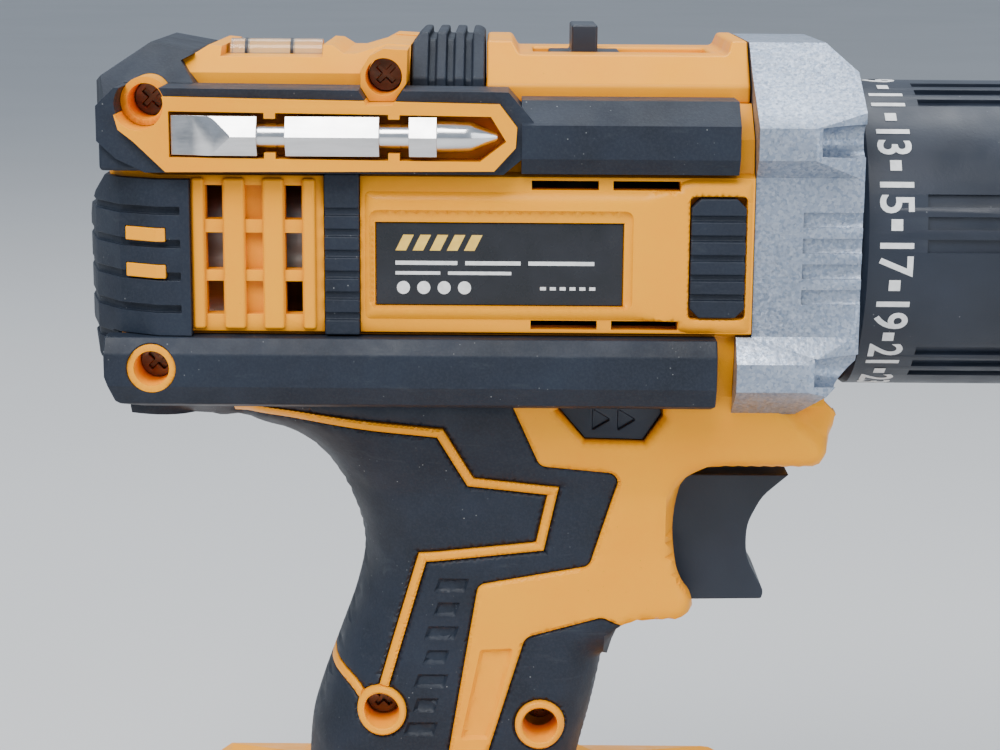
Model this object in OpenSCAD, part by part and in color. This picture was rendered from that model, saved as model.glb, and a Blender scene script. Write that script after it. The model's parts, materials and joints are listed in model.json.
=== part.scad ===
// Cordless drill: an assembly of separate named sub-components.
// Row frame: +X towards the chuck, +Z up, origin under the middle of the battery's bottom face.

/* [Body] */
// height of the spindle axis above the surface the battery stands on
axis_z = 160; // [150:1:175]
// distance from the rear of the body to the nose of the chuck
overall_length = 198; // [190:1:210]
// how far the rear of the body lies behind the body datum
rear_x = 66; // [60:1:70]
// half width of the body over its flat sides
side_y = 28.5; // [26:0.5:30]
// half width of the body over the rubber rails
rail_y = 32; // [30:0.5:33]
// thickness of the moulded shell
wall = 2.6; // [2:0.1:3.5]
// thickness of the rubber moulded over the handle
rubber_t = 1.6; // [1:0.1:2.5]
// width of the yellow line that crosses the handle
stripe_w = 1.5; // [1:0.1:2.5]

/* [Drive] */
// gear module
gear_m = 0.8; // [0.7:0.1:1]
// teeth of each sun gear
sun_n = 12; // [12:1:15]
// teeth of each planet gear
planet_n = 12; // [12:1:15]
// radius of the spindle in its bearings
spindle_r = 5; // [4.5:0.1:6]
// radius of the motor can
motor_r = 18.2; // [17:0.1:19]

/* [Chuck] */
// radius the jaws are set to grip
grip_r = 3.2; // [3:0.1:3.4]
// radius of one jaw
jaw_r = 3.5; // [3:0.1:4]
// radius of the tightening sleeve
sleeve_r = 21.5; // [20:0.5:23]
// radius of the torque collar
collar_r = 24.8; // [24:0.1:26]

/* [Battery] */
// length of the battery pack
pack_length = 112; // [105:1:120]
// width of the battery pack
pack_width = 74; // [72:1:80]
// height of the battery pack under the foot of the handle
pack_height = 50.6; // [50:0.1:56]

/* [Hidden] */
$fn = 64;
mid_x = overall_length / 2 - rear_x;
ring_n = sun_n + 2 * planet_n;
planet_orbit = gear_m * (sun_n + planet_n) / 2;
pressure = 25;
cell_r = 9.1;
cell_pitch = 19;
half_w = pack_width / 2;
pack_x = -5;
pack_top = pack_height - axis_z;
floor_z = -axis_z;

yellow = [0.93, 0.62, 0.12];
black = [0.09, 0.1, 0.12];
silver = [0.66, 0.68, 0.7];
steel = [0.55, 0.56, 0.58];
copper = [0.72, 0.43, 0.25];

// ---- helpers ----

// moves a piece drawn about the spindle axis into the row frame
module place() translate([-mid_x, 0, axis_z]) children();
// side view outline (x, z) drawn between two depths
module plate(points, y0, y1) {
    translate([0, y1, 0]) rotate([90, 0, 0]) linear_extrude(y1 - y0) polygon(points);
}
// cross-section (y, z) drawn between two stations
module bar(points, x0, x1) {
    translate([x0, 0, 0]) rotate([90, 0, 90]) linear_extrude(x1 - x0) polygon(points);
}
// plan outline (x, y) drawn between two heights
module slab(points, z0, z1) translate([0, 0, z0]) linear_extrude(z1 - z0) polygon(points);
// box from one corner to the other
module block(a, b) translate(a) cube(b - a);
// cylinder along the spindle
module rod(r, x0, x1) translate([x0, 0, 0]) rotate([0, 90, 0]) cylinder(r = r, h = x1 - x0);
// tube along the spindle
module tube(r, bore, x0, x1) {
    difference() {
        rod(r, x0, x1);
        rod(bore, x0 - 1, x1 + 1);
    }
}
// cylinder across the body
module pin(r, x, z, y0, y1) {
    translate([x, y1, z]) rotate([90, 0, 0]) cylinder(r = r, h = y1 - y0, $fn = 40);
}
// ring of revolution about the spindle from a (x, r) outline
module turned(points) {
    rotate([0, 90, 0]) rotate_extrude($fn = 96) polygon([for (p = points) [p[1], p[0]]]);
}
// the same piece on the other side
module other_side() mirror([0, 1, 0]) children();
// keeps what is on one side of the parting line
module half(side) {
    intersection() {
        children();
        translate([-150, side < 0 ? -60 : 0.05, -200]) cube([300, 59.95, 300]);
    }
}

function unit(v) = v / norm(v);
function corner(a, b, c, d) =
    let (u = unit(b - a), v = unit(c - b), n = [-u[1], u[0]], m = [-v[1], v[0]])
    b + (n + m) * (d / (1 + n * m));
// outline moved inwards by d; the points run anticlockwise
function inset(p, d) = let (n = len(p))
    [for (i = [0:n - 1]) corner(p[(i + n - 1) % n], p[i], p[(i + 1) % n], d)];
// a half outline on the +y side made whole
function whole(p) = concat([for (q = p) q],
    [for (i = [len(p) - 1:-1:0]) if (p[i][0] > 0) [-p[i][0], p[i][1]]]);

// involute gear outline
function inv(a) = tan(a) * 180 / PI - a;
function turn_at(rb, r) = r <= rb ? 0 : inv(acos(rb / r));
function gear(n, add, ded, thick) = let (
    rp = gear_m * n / 2,
    rb = rp * cos(pressure),
    radii = [rp - ded, rp - ded / 3, rp + add / 3, rp + add],
    half_angle = 90 / n + thick + inv(pressure))
    [for (t = [0:n - 1]) each concat(
        [for (r = radii) r * [cos(t * 360 / n - half_angle + turn_at(rb, r)),
            sin(t * 360 / n - half_angle + turn_at(rb, r))]],
        [for (k = [3:-1:0]) let (r = radii[k]) r * [cos(t * 360 / n + half_angle - turn_at(rb, r)),
            sin(t * 360 / n + half_angle - turn_at(rb, r))]])];

module spur(n, x0, x1, phase, bore) {
    translate([x0, 0, 0]) rotate([90, 0, 90]) rotate(phase) linear_extrude(x1 - x0) difference() {
        polygon(gear(n, 0.9 * gear_m, 1.1 * gear_m, -40 / n * 0.12 / gear_m));
        if (bore > 0) circle(r = bore, $fn = 32);
    }
}
module ring_gear(r, x0, x1) {
    translate([x0, 0, 0]) rotate([90, 0, 90]) linear_extrude(x1 - x0) difference() {
        circle(r = r, $fn = 72);
        rotate(5) polygon(gear(ring_n, 1.15 * gear_m, 0.8 * gear_m, 0.12));
    }
}
// position and phase of one planet gear
function planet_angle(k) = 90 + 120 * k;
module planet(k, x0, x1) {
    rotate([planet_angle(k), 0, 0]) translate([0, planet_orbit, 0])
        spur(planet_n, x0, x1, planet_angle(k) + 165, 1.65);
}

// ---- outlines shared by several pieces ----

// barrel section (y, z), right half from the bottom
barrel_half = [[0, -30], [14, -28.5], [24.5, -23.5], [26.5, -16], [26.6, -12.5], [side_y, -11.9],
    [side_y, 11.9], [26.6, 12.5], [26, 17.5], [20, 22.4], [0, 22.4]];
barrel = whole(barrel_half);
// the space inside it
barrel_space = whole([[0, -27.2], [13.2, -25.9], [22.4, -21.6], [23.9, -15.4], [24, -12], [side_y - wall, -10.2],
    [side_y - wall, 10.2], [24, 12], [23.3, 16.2], [18.9, 22.4 - wall], [0, 22.4 - wall]]);
// side view of the handle, anticlockwise
handle = [[-52, -20], [-48, -26.5], [-39.8, -30.9], [-33.4, -33], [-28.4, -37.2], [-24.3, -44.5],
    [-22.5, -52.3], [-23.9, -60.3], [-27, -69.2], [-30.2, -78.2], [-31.8, -85], [-32.6, -102],
    [12.2, -102], [13.4, -88.6], [15.6, -79.6], [17.2, -72.5], [17, -69.2], [31, -66.4], [32.6, -64.6],
    [32.4, -62.2], [29.6, -56.6], [28.3, -52.5], [28.2, -46.5], [29, -42.4], [31.2, -39.4],
    [35.8, -38.1], [54, -38.1], [56, -28.7], [51.6, -20]];
// side view of the space in the handle
handle_space = [[-35, -22], [-30, -29.6], [-24, -35.6], [-19.4, -44], [-18, -52.3], [-19.6, -61],
    [-22.8, -70.2], [-26.5, -84], [-27.6, -101], [8, -101], [9.4, -88.6], [11.6, -79.6], [12.6, -70],
    [18, -65.5], [26, -62], [25.4, -56], [24, -50], [24.6, -43], [27, -37], [30, -34], [49, -34],
    [49, -22]];
// rear of the handle, used to round the palm side
palm = [[-46, -27.8], [-33.4, -33], [-28.4, -37.2], [-24.3, -44.5], [-22.5, -52.3], [-23.9, -60.3],
    [-27, -69.2], [-31.8, -85], [-32.6, -102]];
// cross-section of the handle through its depth (y, z), right half from the bottom
depth_half = [[0, -103], [19, -103], [18.2, -86], [17.6, -66], [18.2, -50], [19.2, -40], [21.5, -33],
    [24.3, -24], [24.3, -18], [0, -18]];
// section across the palm (forward, y), right half
palm_half = [[-1, 0], [-1, 2.6], [0.9, 9.5], [2.4, 12.3], [4.8, 15], [8, 17], [12, 18.3], [20, 25], [90, 25],
    [90, 0]];
// the front panel of the handle that stays hard plastic (x, z)
front_panel = [[0.5, -21], [6.4, -34.9], [19.5, -36.1], [14.6, -52], [-3.3, -55.4], [-10.8, -103],
    [-5.6, -103], [-1.2, -83.2], [4.6, -65], [16.8, -60.9], [20.6, -62.5], [21.5, -70], [70, -70], [70, -17]];
// centre line of the stripe (x, z)
stripe = [[-42, -26], [-37.5, -26.4], [-9.4, -29.3], [-4.6, -37.9], [8.6, -39.4], [6.6, -48.9],
    [-12.3, -51], [-18.8, -72.7]];
stripe_tail = [[-23, -74.2], [-26, -72.2], [-33, -70.8]];
// screws: x, z, outer end of the boss
screws = [[-53.8, 22.7, 26], [-17.8, 26.6, 26], [-53, -17.3, 31.5], [-19, -77.1, 18], [6.9, -79.2, 14.5]];

// a bent line of even width, as one outline
function beside(p, d) = let (n = len(p)) [for (i = [0:n - 1])
    i == 0 ? p[0] + d * across(p[0], p[1]) :
    i == n - 1 ? p[i] + d * across(p[i - 1], p[i]) : corner(p[i - 1], p[i], p[i + 1], d)];
function across(a, b) = let (u = unit(b - a)) [-u[1], u[0]];
module line(points, w, y0, y1) {
    near = beside(points, w / 2);
    far = beside(points, -w / 2);
    plate(concat(near, [for (i = [len(far) - 1:-1:0]) far[i]]), y0, y1);
}

module handle_form(d) {
    intersection() {
        plate(inset(handle, d), -30, 30);
        bar(inset(whole(depth_half), d), -70, 70);
        union() {
            for (i = [0:len(palm) - 2]) {
                a = palm[i];
                b = palm[i + 1];
                s = norm(b - a);
                translate([a[0], 0, a[1]]) rotate([0, atan2(b[0] - a[0], b[1] - a[1]), 0])
                    mirror([1, 0, 0]) translate([0, 0, -14]) linear_extrude(s + 22) palm_section(d);
            }
            block([-8, -30, -66], [70, 30, -18]);
        }
    }
}
module palm_section(d) polygon([for (p = whole_x(palm_half)) [p[0] + d, p[1] * (1 - d / 25)]]);
function whole_x(p) = concat([for (q = p) q], [for (i = [len(p) - 2:-1:1]) [p[i][0], -p[i][1]]]);

// foot of the handle that carries the battery
foot_half = [[0, -109], [half_w, -109], [half_w, -105.4], [35, -103.4], [22, -99.8], [17.5, -95.5], [0, -95.5]];
module foot_form() {
    intersection() {
        plate([[-53, -109], [42, -109], [43, -106], [40, -103.6], [18, -99.4], [12.8, -95.5], [-32.2, -95.5],
            [-36, -99.4], [-50, -103], [-53, -106]], -40, 40);
        bar(whole(foot_half), -70, 70);
    }
}
// the channel that takes the battery's rail
rail_neck = 16;
rail_head = 20;
module battery_rail(gap, x0, x1) {
    bar([[-rail_neck - gap, -110], [rail_neck + gap, -110], [rail_neck + gap, -106.6 - gap],
        [rail_head + gap, -106.6 - gap], [rail_head + gap, -103.4 + gap], [-rail_head - gap, -103.4 + gap],
        [-rail_head - gap, -106.6 - gap], [-rail_neck - gap, -106.6 - gap]], x0, x1);
}

button_window = [[13.4, -30.4], [22.8, -30.6], [25.7, -26.3], [25.5, -23.8], [10.5, -23.8], [8.9, -25.2]];

// the barrel, with its rear corners taken off in plan
barrel_plan = [[-60, -22.5], [-57.4, -26], [-51.5, -28.6], [70, -28.6], [70, 28.6], [-51.5, 28.6],
    [-57.4, 26], [-60, 22.5]];
module barrel_body(x0, x1) {
    intersection() {
        bar(barrel, x0, x1);
        slab(barrel_plan, -40, 40);
    }
}

module hollow() {
    // motor and gear space
    bar(barrel_space, -57, 60);
    // space in the handle
    plate(handle_space, -13.2, 13.2);
}
module saddles() {
    for (x = [-41.4, -10]) difference() {
        bar(barrel, x, x + 2.2);
        rod(motor_r + 0.05, x - 1, x + 4);
    }
}
// the second screw holds the rear cover and needs no boss in the shells
boss_screws = [for (i = [0, 2, 3, 4]) screws[i]];
module bosses() {
    for (s = boss_screws) pin(3.7, s[0], s[1], -s[2], s[2]);
}
module screw_holes(grow) {
    for (s = screws) {
        pin(2.7 + grow, s[0], s[1], -s[2] - 5, -s[2] + 9);
        pin(2.7 + grow, s[0], s[1], s[2] - 9, s[2] + 5);
        pin(1.55, s[0], s[1], -s[2], s[2]);
    }
}
module side_openings() {
    for (m = [0, 1]) mirror([0, m, 0]) {
        // grille openings to the motor, three rows
        for (row = [[5.2, 10.4], [-2.5, 3.2], [-9.3, -4.2]]) {
            block([-44.7, -30, row[0]], [-42.1, -20, row[1]]);
            block([-32.7, -30, row[0]], [-30.1, -20, row[1]]);
            block([-38.7, -30, row[0]], [-36.1, -27, row[1]]);
        }
        // four vent slots
        for (x = [4.6, 16.9]) for (z = [10, -11.4])
            block([x, -30, z], [x + 10.1, -20, z + 1.4]);
        // beds of the label plate, the ribbed band and the ribbed insert
        block([-19.1, -30, -7.9], [18.7, -side_y + 1, 5]);
        block([-26.8, -30, -13], [-21.3, -26.6, 13]);
        block([28.6, -30, -9.5], [37.1, -27, 9.1]);
    }
    // direction button passes through
    plate(inset(button_window, -0.15), -40, 40);
    // trigger opening
    block([20, -8.6, -63.2], [45, 8.6, -38.5]);
    plate([[18, -63.2], [31.6, -63.2], [31.6, -61], [18, -61]], -8.6, 8.6);
}

module shell_form() {
    difference() {
        union() {
            difference() {
                union() {
                    barrel_body(-60.5, 38.3);
                    handle_form(rubber_t);
                    intersection() {
                        handle_form(0);
                        union() {
                            plate(front_panel, -30, 30);
                            line(stripe, stripe_w, -30, 30);
                            line(stripe_tail, stripe_w, -30, 30);
                        }
                    }
                    foot_form();
                }
                hollow();
            }
            saddles();
            difference() {
                bosses();
                rod(20, -56, 60);
            }
        }
        // room for the gear housing and the tray behind the rail
        plate([[36, -12.6], [36, -25.9], [45.7, -25.9], [51.6, -20], [70, -20], [70, 40], [38.4, 40],
            [38.4, -12.6]], -40, 40);
        rod(motor_r + 0.05, -58.4, 39);
        // slot of the shift yoke
        block([8, -4.3, 15], [31, 4.3, 24]);
        side_openings();
        screw_holes(0);
        battery_rail(0.35, -44, 60);
        // terminal well
        block([-38, -11, -105], [-14, 11, -84]);
    }
}

module left_shell() color(yellow) place() other_side() half(1) shell_form();
module right_shell() color(yellow) place() half(1) shell_form();

module grip_form() {
    difference() {
        handle_form(0);
        handle_form(rubber_t);
        plate(front_panel, -30, 30);
        line(stripe, stripe_w, -30, 30);
        line(stripe_tail, stripe_w, -30, 30);
        barrel_body(-70, 60);
        foot_form();
        screw_clear();
        block([20, -8.6, -63.2], [45, 8.6, -38.5]);
    }
}
module left_grip() color(black) place() other_side() half(1) grip_form();
module right_grip() color(black) place() half(1) grip_form();

// rails
upper_rail = [[26.7, 12.6], [rail_y - 1.5, 12.6], [rail_y, 15], [rail_y, 20], [28, 23.4], [20.2, 23.4],
    [20.2, 22.5], [26.1, 17.6]];
lower_rail = [[24.7, -24.6], [rail_y - 1.5, -23], [rail_y, -20], [rail_y, -15], [rail_y - 1.5, -12.6],
    [26.7, -12.6], [26.6, -16]];
module rail(points, x0, x1) {
    bar([for (p = points) [p[0], p[1]]], x0, x1);
}
module screw_clear() {
    for (s = boss_screws) pin(3.75, s[0], s[1], -40, 40);
}
tray_out = [[-60.3, 17.2], [-57.5, 14.6], [-52.4, 12.2], [-0.6, 11.8], [4.6, 16.2], [4.8, 20.4], [1, 24.8],
    [-50, 25.1], [-57.5, 25.1], [-60.3, 22.4]];
tray_edge = [[-57.4, 21.2], [-56.8, 19], [-54.6, 17.3], [-49.9, 12.8], [-1.1, 13.2], [2.1, 16.7],
    [2.3, 19.7], [-0.3, 23.1], [-50.4, 23.9]];
// ear of the rear cover that carries the second screw
ear = [[-21.3, 27.5], [-21.3, 25], [-20, 22.9], [-16.2, 22.9], [-14.4, 25.5], [-14.2, 30.6], [-17.8, 30.8],
    [-20, 29.6]];
module ears(d) for (m = [0, 1]) mirror([0, m, 0]) plate(inset(ear, -d), d > 0 ? -40 : -26, -17);
module left_upper_rail() color(black) place() difference() {
    union() {
        other_side() rail(upper_rail, 3, 35.6);
        intersection() {
            plate(tray_out, -31.6, -20.1);
            block([-70, -40, 12.55], [20, 0, 40]);
        }
    }
    plate(inset(tray_edge, -0.05), -40, -23.95);
    barrel_body(-70, 60);
    screw_clear();
    ears(0.05);
    block([-70, -20.2, 22], [20, 0, 40]);
}
module right_upper_rail() color(black) place() difference() {
    rail(upper_rail, -60, 35.6);
    screw_clear();
    ears(0.05);
}
module lower_rail_form() {
    difference() {
        intersection() {
            rail(lower_rail, -60.4, 33);
            plate([[-60.2, -18.6], [-58.8, -22.6], [-55, -24.8], [33, -24.8], [33, -12], [-60.2, -12]], 0, 40);
        }
        screw_clear();
    }
}
module left_lower_rail() color(black) place() other_side() lower_rail_form();
module right_lower_rail() color(black) place() lower_rail_form();

// rear bumper: a ribbed cap over the motor's end
bumper = [[-46.9, -17.4], [-46.9, 11.4], [-60.6, 11.4], [-64.4, 6], [-66, 0], [-65.9, -6], [-65, -12.3],
    [-62.3, -17.4]];
module bumper_form(d) {
    intersection() {
        plate(inset(bumper, -d), -40, 40);
        slab([[-46.8, -30.2 - d], [-46.8, 30.2 + d], [-52, 30 + d], [-58, 27 + d], [-62.6, 21 + d],
            [-65, 12 + d], [-66 - d, 0], [-65, -12 - d], [-62.6, -21 - d], [-58, -27 - d], [-52, -30 - d]],
            -30, 30);
    }
}
module tab_boxes(gap) {
    for (z = [1.9, -3.7]) for (m = [0, 1]) mirror([0, m, 0])
        block([-57 - gap, -36, z - gap], [-50.6 + gap, -24, z + 2.1 + gap]);
}
tab_plan = [[-57, -27.7], [-52, -30.2], [-50.6, -30.25], [-50.6, -28.7], [-51.5, -28.7], [-57, -26.3]];
module rear_bumper() color(black) place() difference() {
    bumper_form(0);
    barrel_body(-70, -40);
    for (z = [-14:5:8]) difference() {
        block([-70, -40, z], [-48.4, 40, z + 1.2]);
        bumper_form(-1);
    }
    for (m = [0, 1]) mirror([0, m, 0]) block([-70, 28, -12.55], [-40, 40, -18]);
    tab_boxes(0.05);
    plate([[-70, -12.5], [-40, -12.5], [-40, -20], [-70, -20]], -40, -24.6);
    plate([[-70, -12.5], [-40, -12.5], [-40, -20], [-70, -20]], 24.6, 40);
}
module bumper_tabs() color(yellow) place() {
    for (z = [1.9, -3.7]) for (m = [0, 1]) mirror([0, m, 0])
        slab(tab_plan, z, z + 2.1);
}

module band() {
    difference() {
        block([-26.7, -29.4, -12.3], [-21.4, -26.65, 12.3]);
        for (z = [-10:3.2:9]) block([-27, -30, z], [-21, -28.8, z + 1.1]);
    }
}
module left_band() color(black) place() band();
module right_band() color(black) place() other_side() band();

module insert_form() {
    difference() {
        plate([[28.7, -7.9], [30.1, -9.3], [35.6, -9.3], [37, -7.9], [37, 7.5], [35.6, 8.9], [30.1, 8.9],
            [28.7, 7.5]], -29.6, -27.05);
        for (z = [-6.6:3:7]) block([28, -30, z], [38, -28.9, z + 0.9]);
    }
}
module left_insert() color(black) place() insert_form();
module right_insert() color(black) place() other_side() insert_form();

module label_form() block([-18.9, -side_y + 0.4, -7.7], [18.5, -side_y + 1, 4.8]);
module left_plate() color([0.05, 0.05, 0.06]) place() label_form();
module right_plate() color([0.05, 0.05, 0.06]) place() other_side() label_form();

// top of the body
module rear_shoulder() color(black) place() difference() {
    intersection() {
        plate([[-60.2, 12.6], [-50, 12.6], [-17, 22.5], [-17, 24.5], [-42.6, 24.5], [-48, 29.6], [-54.6, 30.9],
            [-63.6, 24.6], [-63.6, 20]], -24.5, 24.5);
        slab([[-60.2, -24.6], [-63.2, -14], [-63.6, 0], [-63.2, 14], [-60.2, 24.6], [0, 24.6], [0, -24.6]],
            0, 40);
        bar([[-24.4, 12.6], [24.4, 12.6], [24.4, 23], [13, 31.6], [-13, 31.6], [-24.4, 23]], -70, -10);
    }
    barrel_body(-70, 60);
    plate(inset(tray_out, -0.05), -40, -20.1);
    screw_clear();
    block([-70, 20.1, 10], [-10, 40, 23.5]);
    block([-70, -24.6, 10], [-10, -20.1, 22.5]);
    plate(rear_cover_line, -40, 40);
    ears(0.05);
}
rear_cover_line = [[-46.6, 24.55], [-22.1, 24.55], [-15.9, 22.5], [-14.2, 22.5], [-14.2, 30.6],
    [-17.8, 30.8], [-22.7, 29.3], [-24.6, 29.3], [-26.4, 30.5], [-27.9, 30.6], [-27.9, 28.8], [-43.7, 28.8],
    [-43.6, 30.3], [-45.6, 30.5], [-47.2, 29.5], [-49.5, 28.3]];
module rear_cover() color(yellow) place() difference() {
    union() {
        intersection() {
            plate(rear_cover_line, -17.5, 17.5);
            bar([[-17.5, 22.45], [17.5, 22.45], [17.5, 26.5], [11.5, 32], [-11.5, 32], [-17.5, 26.5]], -70, 0);
        }
        ears(0);
    }
    translate([0, -5, 29]) rod(2.25, -43.2, -28.4);
    block([-43.2, -7.25, 29], [-28.4, -2.75, 40]);
    screw_holes(0.05);
}
module level_vial() color([0.85, 0.9, 0.85, 0.4]) place() translate([0, -5, 29]) rod(2.1, -43.1, -28.5);
module top_grip() color(black) place() difference() {
    intersection() {
        plate([[-13.9, 22.45], [-2.7, 22.45], [-2.7, 32], [-3.6, 32.6], [-12.6, 32.6], [-13.9, 31.2]], -19, 19);
        bar([[-19, 22.45], [19, 22.45], [19, 26], [12, 32.6], [-12, 32.6], [-19, 26]], -70, 0);
    }
    for (x = [-11.4, -8.6, -5.8]) difference() {
        block([x, -30, 22], [x + 1.2, 30, 40]);
        bar([[-17.8, 22], [17.8, 22], [17.8, 25.6], [11.3, 31.4], [-11.3, 31.4], [-17.8, 25.6]], -20, 0);
    }
}
speed_line = [[-2.4, 25.9], [-2.4, 22.45], [38.2, 22.45], [38.2, 31.6], [35.7, 31.6], [35, 29.4],
    [2.7, 29.4], [1.6, 31.4], [-2.4, 31.4]];
module speed_cover() color(yellow) place() difference() {
    intersection() {
        plate(speed_line, -19, 19);
        bar([[-19, 22.45], [19, 22.45], [19, 25], [12.5, 31.8], [-12.5, 31.8], [-19, 25]], -20, 60);
    }
    // channel the knob runs in, and the slot down to the gears
    block([5, -7, 27.4], [33, 7, 40]);
    block([6, -4.2, 20], [32, 4.2, 30]);
    block([4, -11, 22], [34, 11, 25.5]);
}
module speed_knob() color(black) place() {
    block([7.5, -6.6, 27.6], [19, 6.6, 29.2]);
    block([11, -6.6, 29.15], [15.1, 6.6, 33.6]);
    block([10.5, -3.9, 22.7], [15.6, 3.9, 27.65]);
}

// bit tray on the camera side, and the double-ended bit in it
tray_well = [[-49.3, 15], [-3.2, 14.6], [0.7, 17.6], [-1.6, 21.3], [-49.3, 21.8]];
module bit_tray() color(yellow) place() {
    difference() {
        plate(tray_edge, -33, -24);
        plate(tray_well, -40, -27.9);
        barrel_body(-70, 60);
        screw_clear();
        ears(0.05);
        block([-70, -24.6, 20], [10, -20, 30]);
    }
    // tabs that hold the necks of the bit
    for (x = [-35.2, -16.8]) {
        block([x, -33, 20.8], [x + 1.7, -29.5, 22.4]);
        block([x, -33, 14], [x + 1.7, -29.5, 15.8]);
    }
}
bit_z = 18.25;
bit_y = -31.6;
module spare_bit() color([0.8, 0.81, 0.83]) place() translate([0, bit_y, bit_z]) {
    for (s = [[-40.1, -36.2], [-32, -18.1], [-13.7, -9.6]])
        translate([s[0], 0, 0]) rotate([0, 90, 0]) rotate([0, 0, 30]) cylinder(r = 3.4, h = s[1] - s[0], $fn = 6);
    rod(1.9, -40, -8);
    // flat blade
    intersection() {
        translate([-49.1, 0, 0]) rotate([0, 90, 0]) rotate([0, 0, 30]) cylinder(r = 3.4, h = 9.1, $fn = 6);
        slab([[-49.1, -0.55], [-46, -0.9], [-42.5, -2], [-40.05, -3.3], [-40.05, 3.3], [-42.5, 2],
            [-46, 0.9], [-49.1, 0.55]], -4, 4);
    }
    turned([[-9.7, 0], [-9.7, 2.5], [-4.6, 2.3], [-0.6, 0.6], [-0.6, 0]]);
}

// fasteners of the two halves
module housing_screws() color([0.35, 0.25, 0.18]) place() {
    for (s = screws) difference() {
        union() {
            pin(2.6, s[0], s[1], -s[2] + 6.8, -s[2] + 8.95);
            pin(1.5, s[0], s[1], -s[2] + 8, s[2] - 9.5);
        }
        for (a = [45, -45]) translate([s[0], -s[2] + 6.8, s[1]]) rotate([0, a, 0])
            cube([3.4, 2, 0.8], center = true);
    }
}

// cast gear housing with the clutch snout
housing_half = [[0, -28.6], [14, -27.4], [24, -25.4], [31, -20.5], [31, -16.2], [28, -12.4], [28, 12],
    [31, 14.9], [31, 19.7], [27, 22.2], [18.6, 27], [13, 31.4], [0, 31.4]];
module gear_housing() color(silver) place() difference() {
    union() {
        intersection() {
            bar(whole(housing_half), 36.05, 54.9);
            plate([[36.05, -25.8], [45.6, -25.8], [51.5, -19.9], [54.9, -16.5], [54.9, 27.2], [50.4, 31.4],
                [38.45, 31.4], [38.45, -12.5], [36.05, -12.5]], -40, 40);
            slab([[30, -31.5], [45.8, -31.5], [55, -27.6], [55, 27.6], [45.8, 31.5], [30, 31.5]], -40, 40);
        }
        rod(17, 54.8, 84.2);
    }
    rod(20.4, 30, 50.6);
    rod(11.05, 30, 90);
    // grooves of the textured side and the screw recesses
    for (m = [0, 1]) mirror([0, m, 0]) {
        for (z = [-7.4:3.95:5]) block([45.8, -30, z], [56, -27.3, z + 2.3]);
        for (z = [17.6, -17.6]) translate([47.6, -29.3, z]) rotate([0, 90, 14]) cylinder(r = 2.5, h = 11);
    }
    for (y = [-21, 21]) for (z = [17.4, -17.4]) translate([0, y, z]) rod(1.55, 35, 51);
}
module housing_bolts() color(steel) place() {
    for (y = [-21, 21]) for (z = [17.4, -17.4]) translate([0, y, z]) rod(1.5, 39, 50.9);
}

// gear train
module gear_case() color([0.3, 0.31, 0.33]) place() {
    difference() {
        rod(19.3, 0.1, 36.2);
        rod(17.9, 2, 50);
        rod(6.2, -1, 3);
        block([8, -4.3, 10], [31, 4.3, 30]);
    }
    difference() {
        rod(19.7, 36.1, 37.9);
        rod(17.9, 30, 50);
    }
    difference() {
        rod(19.3, 36.2, 50.5);
        rod(11.05, 30, 60);
        rod(15.6, 30, 46);
    }
}
module ring_one() color(steel) place() ring_gear(17.85, 2.1, 10.6);
module ring_two() color(steel) place() difference() {
    ring_gear(17.6, 16, 24);
    difference() {
        rod(19, 19.3, 20.7);
        rod(17, 19, 21);
    }
}
module shift_yoke() color(steel) place() {
    intersection() {
        tube(17.5, 17.05, 19.4, 20.6);
        block([19, -20, 10], [21, 20, 20]);
    }
    block([19.45, -3.4, 17.3], [20.55, 3.4, 22.5]);
}
module carrier(x0, x1) {
    rod(11.9, x0, x1);
    for (k = [0:2]) rotate([planet_angle(k), 0, 0]) translate([0, planet_orbit, 0]) rod(1.6, x0 - 8, x0 + 0.1);
}
module carrier_one() color(steel) place() {
    carrier(11, 13.4);
    spur(sun_n, 13.3, 23.4, 0, 0);
}
module planet_1a() color(steel) place() planet(0, 3.4, 10.6);
module planet_1b() color(steel) place() planet(1, 3.4, 10.6);
module planet_1c() color(steel) place() planet(2, 3.4, 10.6);
module carrier_two() color(steel) place() {
    carrier(24.5, 28);
    rod(spindle_r, 27.9, 88);
    rod(6.2, 87.9, 101);
    rod(8, 31, 40);
}
module planet_2a() color(steel) place() planet(0, 16.6, 24.1);
module planet_2b() color(steel) place() planet(1, 16.6, 24.1);
module planet_2c() color(steel) place() planet(2, 16.6, 24.1);
module spindle_bearings() color(steel) place() {
    tube(11, spindle_r + 0.05, 44, 50);
    tube(11, spindle_r + 0.05, 77, 84);
}

// clutch
module clutch_spring() color(steel) place() {
    for (x = [57.4:3.2:73]) translate([x, 0, 0]) rotate([0, 90, 0])
        rotate_extrude($fn = 64) translate([19.4, 0]) circle(r = 1.1, $fn = 16);
}
module pressure_ring() color(steel) place() tube(21.8, 17.4, 74.8, 78);
module torque_collar() color(black) place() difference() {
    turned([[55.6, 22.2], [82.5, 22.2], [84.6, 20.4], [84.6, 17.4], [88, 17.4], [88, 23.2], [86, collar_r],
        [56.4, collar_r], [55.6, 24.2]]);
    for (g = [0:5]) rotate([g * 60 + 19, 0, 0]) for (a = [-8.1, 0, 8.1]) rotate([a, 0, 0])
        block([65.4, -1, 24.1], [84, 1, 26]);
}

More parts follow.
